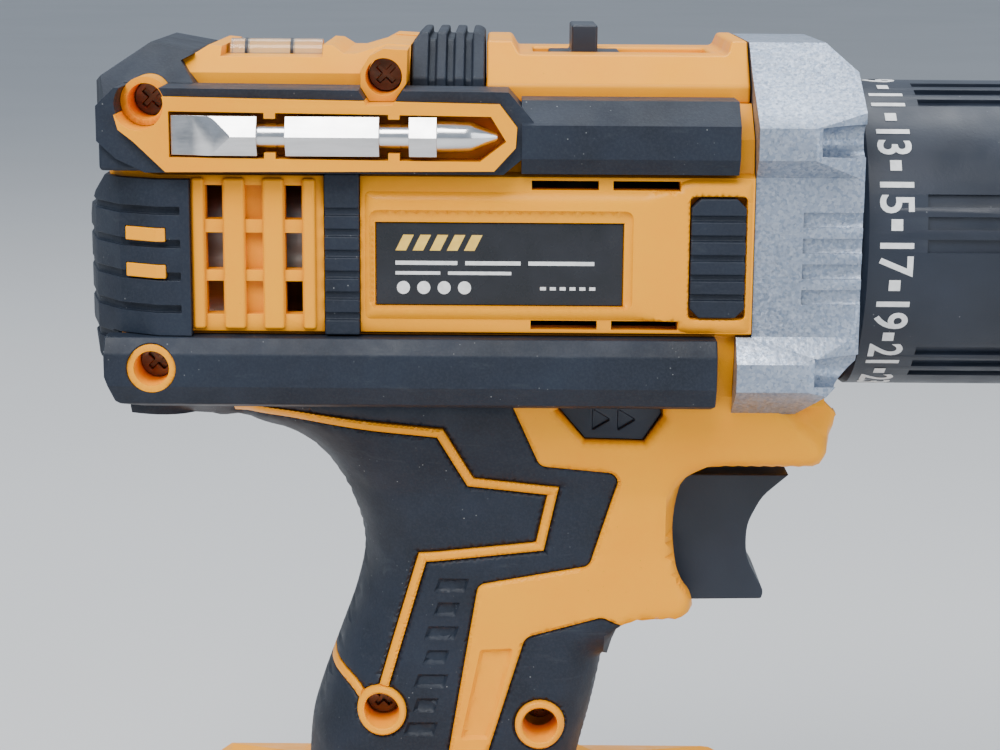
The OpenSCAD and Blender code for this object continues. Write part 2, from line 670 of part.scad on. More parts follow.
// motor
module motor_can() color(steel) place() difference() {
    rod(motor_r, -50, -0.4);
    rod(motor_r - 1, -51, -1.4);
    rod(2.3, -4, 2);
    for (y = [-9, 9]) translate([0, y, 0]) rod(1.5, -4, 2);
    rod(6.5, -1.2, 2);
}
module motor_cap() color(black) place() difference() {
    union() {
        rod(17.1, -50, -46.6);
        rod(motor_r, -53.5, -50);
        rod(6, -57, -53.4);
    }
    rod(15.5, -50.5, -40);
    rod(1.65, -70, -40);
    // flat that clears the lower rear screw
    block([-60, -12, -30], [-51, 12, -15.4]);
    for (y = [-10.5, 10.5]) translate([-53, y - 2, -3]) cube([3.2, 4, 6]);
    for (a = [0:60:300]) rotate([a + 30, 0, 0]) block([-54, 11, -2], [-50, 14.5, 2]);
}
module motor_magnets() color([0.25, 0.25, 0.27]) place() difference() {
    tube(motor_r - 1.05, 14, -42, -10);
    block([-60, -3, -30], [0, 3, 30]);
}
module rotor() color(copper) place() {
    rod(1.6, -57.5, 3);
    spur(sun_n, 2.9, 10.6, 0, 0);
    difference() {
        rod(13.6, -38, -14);
        for (a = [0:60:300]) rotate([a, 0, 0]) {
            block([-39, -1.1, 10], [-13, 1.1, 15]);
            block([-39, -2.2, 6.5], [-13, 2.2, 11.2]);
        }
    }
    rod(4.6, -49.4, -40);
    turned([[-13.9, 1], [-13.9, 10.5], [-10, 9], [-10, 1]]);
    turned([[-41.9, 1], [-41.9, 9], [-38.1, 10.5], [-38.1, 1]]);
    for (a = [0:40:320]) rotate([a, 0, 0]) block([-8.6, -0.5, 3], [-3.6, 0.5, 15.5]);
    rod(4.5, -9, -3.4);
}
module carbon_brushes() color([0.15, 0.15, 0.15]) place() {
    for (m = [0, 1]) mirror([0, m, 0]) block([-48.6, 4.75, -2], [-44.8, 13, 2]);
}

// controls
trigger_line = [[22, -61.4], [32.2, -60.6], [44, -60.6], [41.9, -56.8], [40.9, -51.6], [43.5, -45.6],
    [47.9, -39], [27.5, -39], [27.5, -41], [22, -43]];
module trigger() color(black) place() {
    difference() {
        plate(trigger_line, -8.2, 8.2);
        translate([15, 0, -46]) rotate([0, 90, 0]) cylinder(r = 3.4, h = 11.5);
    }
    translate([0, 0, -55]) rod(2.4, 8, 22.2);
}
module switch_body() color([0.12, 0.12, 0.13]) place() difference() {
    block([-6, -9.5, -60.5], [15.4, 9.5, -33]);
    translate([0, 0, -55]) rod(2.7, 1.5, 20);
    translate([0, 0, -46]) rod(3.2, 11, 20);
}
module trigger_spring() color(steel) place() translate([0, 0, -46]) {
    for (x = [12.2:2.05:25]) translate([x, 0, 0]) rotate([0, 90, 0])
        rotate_extrude($fn = 32) translate([2.3, 0]) circle(r = 0.45, $fn = 12);
}
module direction_button() color(black) place() difference() {
    plate(inset(button_window, 0.2), -20.8, 24.3);
    for (y = [-20.8, 24.3]) for (x = [14.6, 18.6])
        plate([[x, -28.9], [x + 2.8, -27.2], [x, -25.5]], y - 0.5, y + 0.5);
}

// keyless chuck
jaw_tilt = 15;
jaw_tip = 124;
jaw_off = 4;
module jaw_space(k, r, back, front) {
    rotate([120 * k, 0, 0]) translate([jaw_tip, 0, jaw_off]) rotate([0, jaw_tilt, 0])
        translate([-back, 0, 0]) rotate([0, 90, 0]) cylinder(r = r, h = back + front, $fn = 48);
}
module chuck_body() color(steel) place() difference() {
    turned([[89, 0], [89, 13.5], [91.8, 13.5], [91.8, 17], [94.5, 17], [94.5, 15.2], [100.6, 15.2],
        [100.6, 17], [112, 17], [126, 13.2], [131.9, 11.6], [131.9, 0]]);
    rod(6.25, 80, 101.3);
    rod(6.6, 104, 140);
    for (k = [0:2]) jaw_space(k, jaw_r + 0.07, 46, 20);
}
module chuck_sleeve() color(black) place() difference() {
    turned([[92.4, 17.4], [94.3, 17.4], [94.3, 19.5], [100.8, 19.5], [100.8, 17.4], [112.2, 17.4],
        [126.3, 13.6], [130.6, 12.5], [130.6, 15.4], [127, 18.2], [116, sleeve_r], [95, sleeve_r],
        [92.4, 20.2]]);
    for (a = [0:15:345]) rotate([a, 0, 0]) block([97, -0.9, sleeve_r - 0.7], [115, 0.9, 30]);
}
module chuck_nut() color(steel) place() tube(19.45, 15.85, 94.9, 100.2);
module jaw(k) {
    intersection() {
        difference() {
            jaw_space(k, jaw_r, 26, 0);
            rod(grip_r, 80, 150);
        }
        // the wedge that lets three jaws close together
        rotate([120 * k, 0, 0]) bar([[0, 2.3], [30, 2.3 + 30 / tan(60)], [30, 60], [-30, 60],
            [-30, 2.3 + 30 / tan(60)]], 80, 140);
    }
}
module jaw_a() color(steel) place() jaw(0);
module jaw_b() color(steel) place() jaw(1);
module jaw_c() color(steel) place() jaw(2);

// battery pack
pack_half = [[0, floor_z], [half_w - 3, floor_z], [half_w, floor_z + 3], [half_w, pack_top - 2.5],
    [half_w - 2.5, pack_top - 0.3], [0, pack_top - 0.3]];
module battery_pack() color(black) place() {
    difference() {
        intersection() {
            bar(whole(pack_half), pack_x - pack_length / 2, pack_x + pack_length / 2);
            slab([[-61, -33], [-57, -37.1], [47, -37.1], [51, -33], [51, 33], [47, 37.1], [-57, 37.1],
                [-61, 33]], -170, -100);
            plate([[-58, floor_z], [48, floor_z], [51, floor_z + 3], [51, -116], [46, -109.3],
                [-54, -109.3], [-61, -116], [-61, floor_z + 3]], -40, 40);
        }
        block([-54, -33.4, floor_z + 2.6], [44.5, 33.4, pack_top - 3.2]);
    }
    battery_rail(0, -43.6, 30);
}
module battery_cells() color([0.2, 0.45, 0.6]) place() {
    for (i = [0:4]) for (z = [-147.8, -129])
        pin(cell_r, -43.5 + i * cell_pitch + 0.8, z, -32.5, 32.5);
}

left_shell();
right_shell();
left_grip();
right_grip();
left_upper_rail();
right_upper_rail();
left_lower_rail();
right_lower_rail();
rear_bumper();
bumper_tabs();
left_band();
right_band();
left_insert();
right_insert();
left_plate();
right_plate();
rear_shoulder();
rear_cover();
level_vial();
top_grip();
speed_cover();
speed_knob();
shift_yoke();
bit_tray();
spare_bit();
housing_screws();
gear_housing();
housing_bolts();
gear_case();
ring_one();
ring_two();
carrier_one();
planet_1a();
planet_1b();
planet_1c();
carrier_two();
planet_2a();
planet_2b();
planet_2c();
spindle_bearings();
clutch_spring();
pressure_ring();
torque_collar();
motor_can();
motor_cap();
motor_magnets();
rotor();
carbon_brushes();
trigger();
switch_body();
trigger_spring();
direction_button();
chuck_body();
chuck_sleeve();
chuck_nut();
jaw_a();
jaw_b();
jaw_c();
battery_pack();
battery_cells();
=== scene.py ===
import bpy
import bmesh
import json
import math
import numpy as np
from mathutils import Matrix, Quaternion, Vector
from mathutils.geometry import delaunay_2d_cdt

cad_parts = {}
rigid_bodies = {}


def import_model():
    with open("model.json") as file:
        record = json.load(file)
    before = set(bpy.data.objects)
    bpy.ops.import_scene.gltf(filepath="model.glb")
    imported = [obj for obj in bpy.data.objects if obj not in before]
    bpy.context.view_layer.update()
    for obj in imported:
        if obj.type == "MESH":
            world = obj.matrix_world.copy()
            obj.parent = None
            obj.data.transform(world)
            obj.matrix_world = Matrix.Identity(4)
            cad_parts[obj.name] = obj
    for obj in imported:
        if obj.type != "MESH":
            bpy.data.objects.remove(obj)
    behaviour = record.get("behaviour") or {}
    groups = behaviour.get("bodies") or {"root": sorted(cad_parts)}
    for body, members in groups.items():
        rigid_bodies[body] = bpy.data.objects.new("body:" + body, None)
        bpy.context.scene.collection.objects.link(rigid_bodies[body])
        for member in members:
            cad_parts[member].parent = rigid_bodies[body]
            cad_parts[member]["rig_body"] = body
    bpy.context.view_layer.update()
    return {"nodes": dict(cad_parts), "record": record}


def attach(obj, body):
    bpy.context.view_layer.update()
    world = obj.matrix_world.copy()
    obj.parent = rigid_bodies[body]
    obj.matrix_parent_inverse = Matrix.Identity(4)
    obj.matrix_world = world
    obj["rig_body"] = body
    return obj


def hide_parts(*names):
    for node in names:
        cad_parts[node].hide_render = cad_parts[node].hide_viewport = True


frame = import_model()
NODES = frame["nodes"]
BODY_OF = {n: o["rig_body"] for n, o in NODES.items()}
SLOT_OF = {s["node"]: s["material_slot"] for s in frame["record"]["subparts"]}
MID_X, AXIS_Z = 33.0, 160.0
# heights, in mm about the spindle axis, at which the looks change from one piece to the next
BARREL_BOTTOM = -24.4
FOOT_TOP = -95.9
NOSE_END = 50.5
RUBBER = 1.5


def P(x, y, z):
    """A point about the spindle axis, in mm, as a point of the row frame in metres."""
    return Vector(((x - MID_X) / 1000, y / 1000, (z + AXIS_Z) / 1000))


# ---------------------------------------------------------------- materials


class Nodes:
    """A small helper that builds one material's node tree."""

    def __init__(self, name):
        self.m = bpy.data.materials.new(name)
        self.m.use_nodes = True
        self.t = self.m.node_tree
        self.b = self.t.nodes["Principled BSDF"]
        self.coord = self.t.nodes.new("ShaderNodeTexCoord").outputs["Object"]

    def link(self, a, b):
        self.t.links.new(a, b)

    def noise(self, scale, detail=3, rough=0.5, distort=0.0, stretch=None):
        n = self.t.nodes.new("ShaderNodeTexNoise")
        n.inputs["Scale"].default_value = scale
        n.inputs["Detail"].default_value = detail
        n.inputs["Roughness"].default_value = rough
        n.inputs["Distortion"].default_value = distort
        source = self.coord
        if stretch:
            mp = self.t.nodes.new("ShaderNodeMapping")
            mp.inputs["Scale"].default_value = stretch
            self.link(self.coord, mp.inputs["Vector"])
            source = mp.outputs["Vector"]
        self.link(source, n.inputs["Vector"])
        return n.outputs["Fac"]

    def cells(self, scale, what="Distance", feature="F1"):
        n = self.t.nodes.new("ShaderNodeTexVoronoi")
        n.feature = feature
        n.inputs["Scale"].default_value = scale
        self.link(self.coord, n.inputs["Vector"])
        return n.outputs[what]

    def ramp(self, fac, stops):
        r = self.t.nodes.new("ShaderNodeValToRGB")
        e = r.color_ramp.elements
        while len(e) < len(stops):
            e.new(0.5)
        for i, (at, c) in enumerate(stops):
            e[i].position = at
            e[i].color = (*c, 1) if isinstance(c, (list, tuple)) else (c, c, c, 1)
        self.link(fac, r.inputs["Fac"])
        return r.outputs["Color"]

    def mix(self, fac, a, b, blend="MIX"):
        m = self.t.nodes.new("ShaderNodeMix")
        m.data_type = "RGBA"
        m.blend_type = blend
        for sock, v in ((m.inputs["Factor"], fac), (m.inputs["A"], a), (m.inputs["B"], b)):
            if isinstance(v, (int, float)):
                sock.default_value = v
            elif isinstance(v, (list, tuple)):
                sock.default_value = (*v, 1)
            else:
                self.link(v, sock)
        return m.outputs["Result"]

    def maths(self, op, a, b):
        m = self.t.nodes.new("ShaderNodeMath")
        m.operation = op
        for sock, v in ((m.inputs[0], a), (m.inputs[1], b)):
            if isinstance(v, (int, float)):
                sock.default_value = v
            else:
                self.link(v, sock)
        return m.outputs[0]

    # an ambient occlusion mask, used to paint shade into creases and recesses
    def crevice(self, distance=0.003):
        a = self.t.nodes.new("ShaderNodeAmbientOcclusion")
        a.samples = 6
        a.inputs["Distance"].default_value = distance
        return a.outputs["AO"]

    def bump(self, height, strength, distance):
        b = self.t.nodes.new("ShaderNodeBump")
        b.inputs["Strength"].default_value = strength
        b.inputs["Distance"].default_value = distance
        self.link(height, b.inputs["Height"])
        self.link(b.outputs["Normal"], self.b.inputs["Normal"])

    def set(self, **k):
        for name, v in k.items():
            s = self.b.inputs[name.replace("_", " ")]
            if isinstance(v, (int, float)):
                s.default_value = v
            elif isinstance(v, (list, tuple)):
                s.default_value = (*v, 1)
            else:
                self.link(v, s)
        return self.m


def yellow_plastic():
    n = Nodes("yellow_plastic")
    base = n.ramp(n.noise(55, 4), [(0.3, (0.97, 0.350, 0.0)), (0.7, (1.0, 0.395, 0.0))])
    fine = n.noise(900, 3)
    base = n.mix(n.ramp(fine, [(0.35, 0.0), (0.75, 0.22)]), base, (0.98, 0.42, 0.006))
    specks = n.ramp(n.cells(620), [(0.03, 1.0), (0.06, 0.0)])
    specks = n.maths("MULTIPLY", specks, n.ramp(n.noise(90, 2), [(0.52, 0.0), (0.62, 0.6)]))
    base = n.mix(specks, base, (0.42, 0.22, 0.06))
    # painted shade: the colour is darkened where the ambient occlusion finds creases and recesses
    painted_crease_shade = n.ramp(n.crevice(0.0026), [(0.25, 0.62), (0.85, 0.0)])
    base = n.mix(painted_crease_shade, base, (0.36, 0.10, 0.002))
    rough = n.ramp(n.noise(140, 4), [(0.3, 0.30), (0.7, 0.46)])
    n.bump(n.noise(2600, 2), 0.10, 0.00006)
    return n.set(Base_Color=base, Roughness=rough, Specular_IOR_Level=0.22)


def soft_rubber():
    n = Nodes("soft_rubber")
    base = n.ramp(n.noise(70, 5, 0.6), [(0.3, (0.006, 0.0095, 0.018)), (0.72, (0.013, 0.021, 0.038))])
    grain = n.noise(2400, 3, 0.65)
    base = n.mix(n.ramp(grain, [(0.42, 0.0), (0.8, 0.45)]), base, (0.030, 0.038, 0.052))
    scuff = n.ramp(n.noise(260, 5, 0.7, 0.6, (0.35, 1, 1.6)), [(0.60, 0.0), (0.74, 0.42)])
    base = n.mix(scuff, base, (0.045, 0.053, 0.066))
    dust = n.ramp(n.cells(760), [(0.05, 1.0), (0.10, 0.0)])
    dust = n.maths("MULTIPLY", dust, n.ramp(n.noise(120, 3), [(0.50, 0.0), (0.64, 0.75)]))
    base = n.mix(dust, base, (0.30, 0.31, 0.31))
    rough = n.ramp(n.noise(180, 4), [(0.3, 0.46), (0.7, 0.64)])
    height = n.mix(0.35, grain, n.noise(700, 3))
    n.bump(height, 0.42, 0.00012)
    return n.set(Base_Color=base, Roughness=rough, Specular_IOR_Level=0.34)


def black_plastic():
    n = Nodes("black_plastic")
    base = n.ramp(n.noise(60, 4), [(0.3, (0.007, 0.011, 0.021)), (0.7, (0.014, 0.021, 0.037))])
    dust = n.ramp(n.cells(540), [(0.04, 1.0), (0.08, 0.0)])
    dust = n.maths("MULTIPLY", dust, n.ramp(n.noise(110, 3), [(0.52, 0.0), (0.66, 0.6)]))
    base = n.mix(dust, base, (0.27, 0.28, 0.29))
    rough = n.ramp(n.noise(150, 4), [(0.3, 0.36), (0.7, 0.52)])
    n.bump(n.noise(1900, 3), 0.22, 0.0001)
    return n.set(Base_Color=base, Roughness=rough, Specular_IOR_Level=0.5)


def cast_metal():
    n = Nodes("cast_metal")
    base = n.ramp(n.noise(80, 4), [(0.3, (0.195, 0.245, 0.335)), (0.7, (0.275, 0.335, 0.44))])
    spark = n.ramp(n.cells(2300, "Color"), [(0.15, 0.0), (0.9, 0.5)])
    base = n.mix(spark, base, (0.56, 0.60, 0.67))
    dark = n.ramp(n.noise(1500, 3, 0.7), [(0.58, 0.0), (0.72, 0.55)])
    base = n.mix(dark, base, (0.11, 0.125, 0.155))
    # painted shade: the colour is darkened where the ambient occlusion finds creases and recesses
    painted_crease_shade = n.ramp(n.crevice(0.002), [(0.2, 0.6), (0.8, 0.0)])
    base = n.mix(painted_crease_shade, base, (0.06, 0.068, 0.08))
    rough = n.ramp(n.cells(2600, "Color"), [(0.1, 0.30), (0.9, 0.56)])
    n.bump(n.mix(0.5, n.noise(1500, 3, 0.7), n.cells(1300)), 0.5, 0.00014)
    return n.set(Base_Color=base, Roughness=rough, Metallic=0.72)


def steel(name, a, b, rough=(0.22, 0.42), metallic=1.0, scale=500):
    n = Nodes(name)
    base = n.ramp(n.noise(scale, 4, 0.6, 0.0, (0.15, 1, 1)), [(0.3, a), (0.7, b)])
    r = n.ramp(n.noise(scale * 0.6, 4, 0.6), [(0.3, rough[0]), (0.7, rough[1])])
    n.bump(n.noise(scale * 4, 2, 0.5, 0.0, (0.1, 1, 1)), 0.12, 0.00005)
    return n.set(Base_Color=base, Roughness=r, Metallic=metallic)


def plain(name, a, b, rough=(0.4, 0.55), scale=120, metallic=0.0):
    n = Nodes(name)
    base = n.ramp(n.noise(scale, 4), [(0.3, a), (0.7, b)])
    r = n.ramp(n.noise(scale * 1.7, 3), [(0.3, rough[0]), (0.7, rough[1])])
    n.bump(n.noise(scale * 14, 2), 0.12, 0.00006)
    return n.set(Base_Color=base, Roughness=r, Metallic=metallic)


def clear_plastic():
    n = Nodes("clear_plastic")
    base = n.ramp(n.noise(90, 2), [(0.3, (0.86, 0.90, 0.84)), (0.7, (0.93, 0.95, 0.90))])
    r = n.ramp(n.noise(300, 2), [(0.3, 0.05), (0.7, 0.14)])
    return n.set(Base_Color=base, Roughness=r, Transmission_Weight=0.85, IOR=1.45)


MATS = {
    "yellow_plastic": yellow_plastic(),
    "soft_rubber": soft_rubber(),
    "black_plastic": black_plastic(),
    "label_film": plain("label_film", (0.010, 0.012, 0.016), (0.017, 0.019, 0.025), (0.20, 0.32), 200),
    "clear_plastic": clear_plastic(),
    "cast_metal": cast_metal(),
    "case_metal": plain("case_metal", (0.10, 0.105, 0.11), (0.16, 0.165, 0.17), (0.35, 0.5), 300, 0.7),
    "machined_steel": steel("machined_steel", (0.42, 0.42, 0.43), (0.55, 0.55, 0.56)),
    "chuck_steel": steel("chuck_steel", (0.20, 0.20, 0.21), (0.32, 0.32, 0.33)),
    "bit_chrome": steel("bit_chrome", (0.66, 0.66, 0.67), (0.82, 0.82, 0.83), (0.13, 0.26), 1.0, 700),
    "screw_metal": steel("screw_metal", (0.10, 0.055, 0.035), (0.22, 0.13, 0.085), (0.25, 0.45)),
    "motor_steel": steel("motor_steel", (0.35, 0.32, 0.29), (0.52, 0.46, 0.41), (0.25, 0.4)),
    "magnet": plain("magnet", (0.03, 0.03, 0.032), (0.06, 0.06, 0.062)),
    "rotor_metal": steel("rotor_metal", (0.45, 0.20, 0.08), (0.62, 0.32, 0.16), (0.25, 0.4)),
    "carbon": plain("carbon", (0.02, 0.02, 0.02), (0.05, 0.05, 0.05)),
    "cell_wrap": plain("cell_wrap", (0.02, 0.12, 0.25), (0.03, 0.16, 0.32), (0.25, 0.4)),
    "white_print": plain("white_print", (0.68, 0.69, 0.69), (0.84, 0.85, 0.85), (0.4, 0.6), 900),
    "yellow_print": plain("yellow_print", (0.80, 0.50, 0.08), (0.90, 0.60, 0.12), (0.4, 0.6), 900),
}

# ---------------------------------------------------------------- mesh tools


def new_object(name, mesh, material, body, nodes=()):
    o = bpy.data.objects.new(name, mesh)
    bpy.context.scene.collection.objects.link(o)
    mesh.materials.clear()
    mesh.materials.append(MATS[material])
    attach(o, body)
    if nodes:
        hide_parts(*nodes)
    return o


def smooth(mesh, angle=32):
    mesh.shade_smooth()
    mesh.set_sharp_from_angle(angle=math.radians(angle))


def cad_copy(node, keep_above=None, keep_below=None, keep_back=None, whole=True):
    """The CAD node's shape with its flat faces whole again, optionally cut at a height or a length."""
    bm = bmesh.new()
    bm.from_mesh(NODES[node].data)
    bmesh.ops.remove_doubles(bm, verts=bm.verts, dist=2e-6)
    for z, clear_up in ((keep_above, False), (keep_below, True)):
        if z is None:
            continue
        geom = bm.verts[:] + bm.edges[:] + bm.faces[:]
        r = bmesh.ops.bisect_plane(bm, geom=geom, plane_co=P(0, 0, z), plane_no=(0, 0, 1),
                                   clear_outer=clear_up, clear_inner=not clear_up)
        edges = [g for g in r["geom_cut"] if isinstance(g, bmesh.types.BMEdge)]
        bmesh.ops.holes_fill(bm, edges=edges)
    if keep_back is not None:
        geom = bm.verts[:] + bm.edges[:] + bm.faces[:]
        r = bmesh.ops.bisect_plane(bm, geom=geom, plane_co=P(keep_back, 0, 0), plane_no=(1, 0, 0),
                                   clear_outer=True)
        bmesh.ops.holes_fill(bm, edges=[g for g in r["geom_cut"] if isinstance(g, bmesh.types.BMEdge)])
    if whole:
        bmesh.ops.dissolve_limit(bm, angle_limit=math.radians(0.6), verts=bm.verts, edges=bm.edges)
    me = bpy.data.meshes.new(node)
    bm.to_mesh(me)
    bm.free()
    return me


def bevelled(o, width, segments=3, angle=30):
    b = o.modifiers.new("bevel", "BEVEL")
    b.width = width / 1000
    b.segments = segments
    b.limit_method = "ANGLE"
    b.angle_limit = math.radians(angle)
    b.harden_normals = True
    b.miter_outer = "MITER_ARC"
    b.use_clamp_overlap = True
    return o


def cad_piece(node, width=0.35, segments=3, angle=30, name=None, **cut):
    me = cad_copy(node, **cut)
    smooth(me, angle)
    slot = SLOT_OF[node]
    o = new_object(name or node + "_skin", me, slot, BODY_OF[node], (node,))
    if width:
        bevelled(o, width, segments, angle)
    return o


def inside(px, pz, poly):
    """Which points lie in a polygon; px and pz are arrays."""
    hit = np.zeros(len(px), bool)
    n = len(poly)
    for i in range(n):
        (x0, z0), (x1, z1) = poly[i], poly[(i + 1) % n]
        cross = (z0 > pz) != (z1 > pz)
        with np.errstate(divide="ignore", invalid="ignore"):
            at = (x1 - x0) * (pz - z0) / (z1 - z0) + x0
        hit ^= cross & (px < at)
    return hit


def distance(px, pz, segments):
    """Distance of each point from the nearest of the segments."""
    best = np.full(len(px), 1e9)
    for (ax, az), (bx, bz) in segments:
        dx, dz = bx - ax, bz - az
        t = np.clip(((px - ax) * dx + (pz - az) * dz) / max(dx * dx + dz * dz, 1e-12), 0, 1)
        best = np.minimum(best, np.hypot(px - ax - t * dx, pz - az - t * dz))
    return best


def closed(poly):
    return [(poly[i], poly[(i + 1) % len(poly)]) for i in range(len(poly))]


def chain(points):
    return list(zip(points[:-1], points[1:]))


def curve(points, per=5, close=False):
    """A smooth line through the points."""
    n = len(points)
    out = []
    for i in range(n if close else n - 1):
        p = [Vector(points[(i + k) % n] if close else points[min(max(i + k, 0), n - 1)])
             for k in (-1, 0, 1, 2)]
        for s in range(per):
            t = s / per
            q = 0.5 * ((2 * p[1]) + (p[2] - p[0]) * t + (2 * p[0] - 5 * p[1] + 4 * p[2] - p[3]) * t * t
                       + (3 * p[1] - p[0] - 3 * p[2] + p[3]) * t ** 3)
            out.append((q.x, q.y))
    if not close:
        out.append(tuple(points[-1]))
    return out


def beside(points, d):
    """The line moved sideways by d."""
    out = []
    for i, p in enumerate(points):
        a = Vector(points[max(i - 1, 0)])
        b = Vector(points[min(i + 1, len(points) - 1)])
        u = (Vector(p) - a).normalized() if i else (b - Vector(p)).normalized()
        v = (b - Vector(p)).normalized() if i < len(points) - 1 else u
        n, m = Vector((-u.y, u.x)), Vector((-v.y, v.x))
        q = Vector(p) + (n + m) * (d / max(1 + n.dot(m), 0.3))
        out.append((q.x, q.y))
    return out


def band(points, w):
    return beside(points, w / 2) + beside(points, -w / 2)[::-1]


def ring(x, z, r, n=28):
    return [(x + r * math.cos(2 * math.pi * i / n), z + r * math.sin(2 * math.pi * i / n)) for i in range(n)]


def spaced(poly, step, close=True):
    out = []
    for a, b in (closed(poly) if close else chain(poly)):
        k = max(1, int(math.hypot(b[0] - a[0], b[1] - a[1]) / step))
        out += [(a[0] + (b[0] - a[0]) * i / k, a[1] + (b[1] - a[1]) * i / k) for i in range(k)]
    return out


def relief(name, rings, keep, top, thick, material, side, nodes=(), edge=0.6, step=1.5, soft=(),
           body="housing", floor=0.3, angle=38):
    """A moulded skin on one side of the body, seen from that side.
    rings are the outlines it may end at, keep says which points belong to it, top gives the depth of its
    surface, and its rim is rounded by edge except along the segments in soft."""
    pts, edges = [], []
    for r in rings:
        q = spaced(r, step)
        base = len(pts)
        pts += q
        edges += [(base + i, base + (i + 1) % len(q)) for i in range(len(q))]
        for a, b in closed(q):
            mx, mz = (a[0] + b[0]) / 2, (a[1] + b[1]) / 2
            dx, dz = b[0] - a[0], b[1] - a[1]
            s = math.hypot(dx, dz) or 1
            for d in (0.12, 0.38, 1.0):
                for sign in (1, -1):
                    pts.append((mx - dz / s * d * edge * sign, mz + dx / s * d * edge * sign))
    allx = [p[0] for r in rings for p in r]
    allz = [p[1] for r in rings for p in r]
    x = min(allx)
    k = 0
    grid = []
    while x < max(allx):
        z = min(allz) + (k % 2) * step / 2
        while z < max(allz):
            grid.append((x + 0.013 * math.sin(z * 7.1), z + 0.011 * math.cos(x * 5.3)))
            z += step
        x += step * 0.87
        k += 1
    grid = np.array(grid)
    borders = [e for r in rings for e in closed(r)]
    clear = distance(grid[:, 0], grid[:, 1], borders) > 1.35 * edge
    pts += [tuple(g) for g in grid[clear]]
    vs, _, tris, _, _, _ = delaunay_2d_cdt([Vector(p) for p in pts], edges, [], 0, 1e-4)
    v = np.array([(p.x, p.y) for p in vs])
    t = np.array([f for f in tris if len(f) == 3])
    c = v[t].mean(1)
    t = t[keep(c[:, 0], c[:, 1])]
    count = {}
    for f in t:
        for i in range(3):
            e = (int(f[i]), int(f[(i + 1) % 3]))
            key = (min(e), max(e))
            count[key] = None if key in count else e
    rim = [e for e in count.values() if e]
    hard = rim
    if soft:
        mid = np.array([(v[a] + v[b]) / 2 for a, b in rim])
        near = distance(mid[:, 0], mid[:, 1], soft) < 0.08
        hard = [e for e, s in zip(rim, near) if not s]
    used = np.unique(t)
    y = np.zeros(len(v))
    y[used] = top(v[used, 0], v[used, 1])
    low = np.maximum(y - thick, floor)
    if hard:
        d = np.full(len(v), 1e9)
        d[used] = distance(v[used, 0], v[used, 1], [(v[a], v[b]) for a, b in hard])
        inner = np.clip(edge - d, 0, edge)
        y -= edge - np.sqrt(np.maximum(edge * edge - inner * inner, 0))
    y = np.maximum(y, low + 0.02)
    me = bpy.data.meshes.new(name)
    order = {int(u): i for i, u in enumerate(used)}
    n = len(used)
    co = [P(v[u, 0], side * y[u], v[u, 1]) for u in used] + [P(v[u, 0], side * low[u], v[u, 1]) for u in used]
    faces = []
    for f in t:
        a, b, q = (order[int(i)] for i in f)
        faces.append((a, b, q) if side < 0 else (a, q, b))
        faces.append((a + n, q + n, b + n) if side < 0 else (a + n, b + n, q + n))
    for a, b in rim:
        a, b = order[a], order[b]
        faces.append((a, a + n, b + n, b) if side < 0 else (a, b, b + n, a + n))
    me.from_pydata(co, [], faces)
    me.validate()
    smooth(me, angle)
    return new_object(name, me, material, body, nodes)


# ---------------------------------------------------------------- the handle

BACK = [(-46, -27.8), (-39.8, -30.9), (-33.4, -33), (-28.4, -37.2), (-24.3, -44.5), (-22.5, -52.3),
        (-23.9, -60.3), (-27, -69.2), (-30.2, -78.2), (-31.8, -85), (-32.4, -98)]
FRONT_LOW = [(12.1, -98), (13.4, -88.6), (15.6, -79.6), (17.1, -72.5), (17.4, -70)]
GUARD = [(17.4, -70), (20, -66.4), (24, -65.4), (30.2, -64.6), (31.8, -63), (31.9, -60.4), (31.2, -57.6),
         (29.8, -55.4), (28.6, -52), (28.1, -46.5), (28.9, -42.4), (31.2, -39.5), (35.8, -38.2)]
NOSE = [(35.8, -38.2), (51.6, -38.1), (53.2, -37.2), (54.0, -33), (54.6, -28.2), (52.6, -25.6), (48.4, -21.2)]
# the outline as the side wall meets it, inside the outline at the middle
NEAR = curve([(17, -70), (17.6, -66), (20.6, -62.4), (25.8, -61.6), (29.2, -61.4), (30.6, -60.7), (31.1, -59.2),
              (30.8, -57.4), (29.6, -55.2), (28.4, -51.5), (27.7, -48), (27.5, -45.2), (27.6, -42), (28.1, -39.7),
              (29.2, -37.9), (31, -36.3), (33.6, -35.3), (37, -35.1)], 3)
NEAR += curve([(48.8, -35.1), (50.6, -34.6), (51.6, -33.4), (52, -32)], 3)
NEAR += [(53.3, -26), (52.6, -24), (52.6, -15), (-70, -15), (-70, -110), (17, -110)]
back = curve(BACK, 4)
front_low = curve(FRONT_LOW, 3)
guard = curve(GUARD, 3)
OUTLINE = [(-58, -21), (-57.5, -26), (-50, -27.4)] + back + front_low + guard[1:] + NOSE[1:]
OUTLINE += [(36.2, -20.6), (36.2, -21)]
DEPTH = ([-103, -86, -66, -50, -40, -33, -24, -18], [18.8, 18, 17.4, 18, 19, 21.3, 24.1, 24.2])
BELLY = ([-30, -28.5, -23.6, -16], [0.6, 13.6, 24.2, 24.3])


def shoulder(d, r, power=2.3, start=0.0):
    t = np.clip(d / r, 0, 1)
    return start + (1 - start) * (1 - (1 - t) ** power) ** (1 / power)


BACK_SEG, FRONT_SEG = chain(back), chain(front_low)


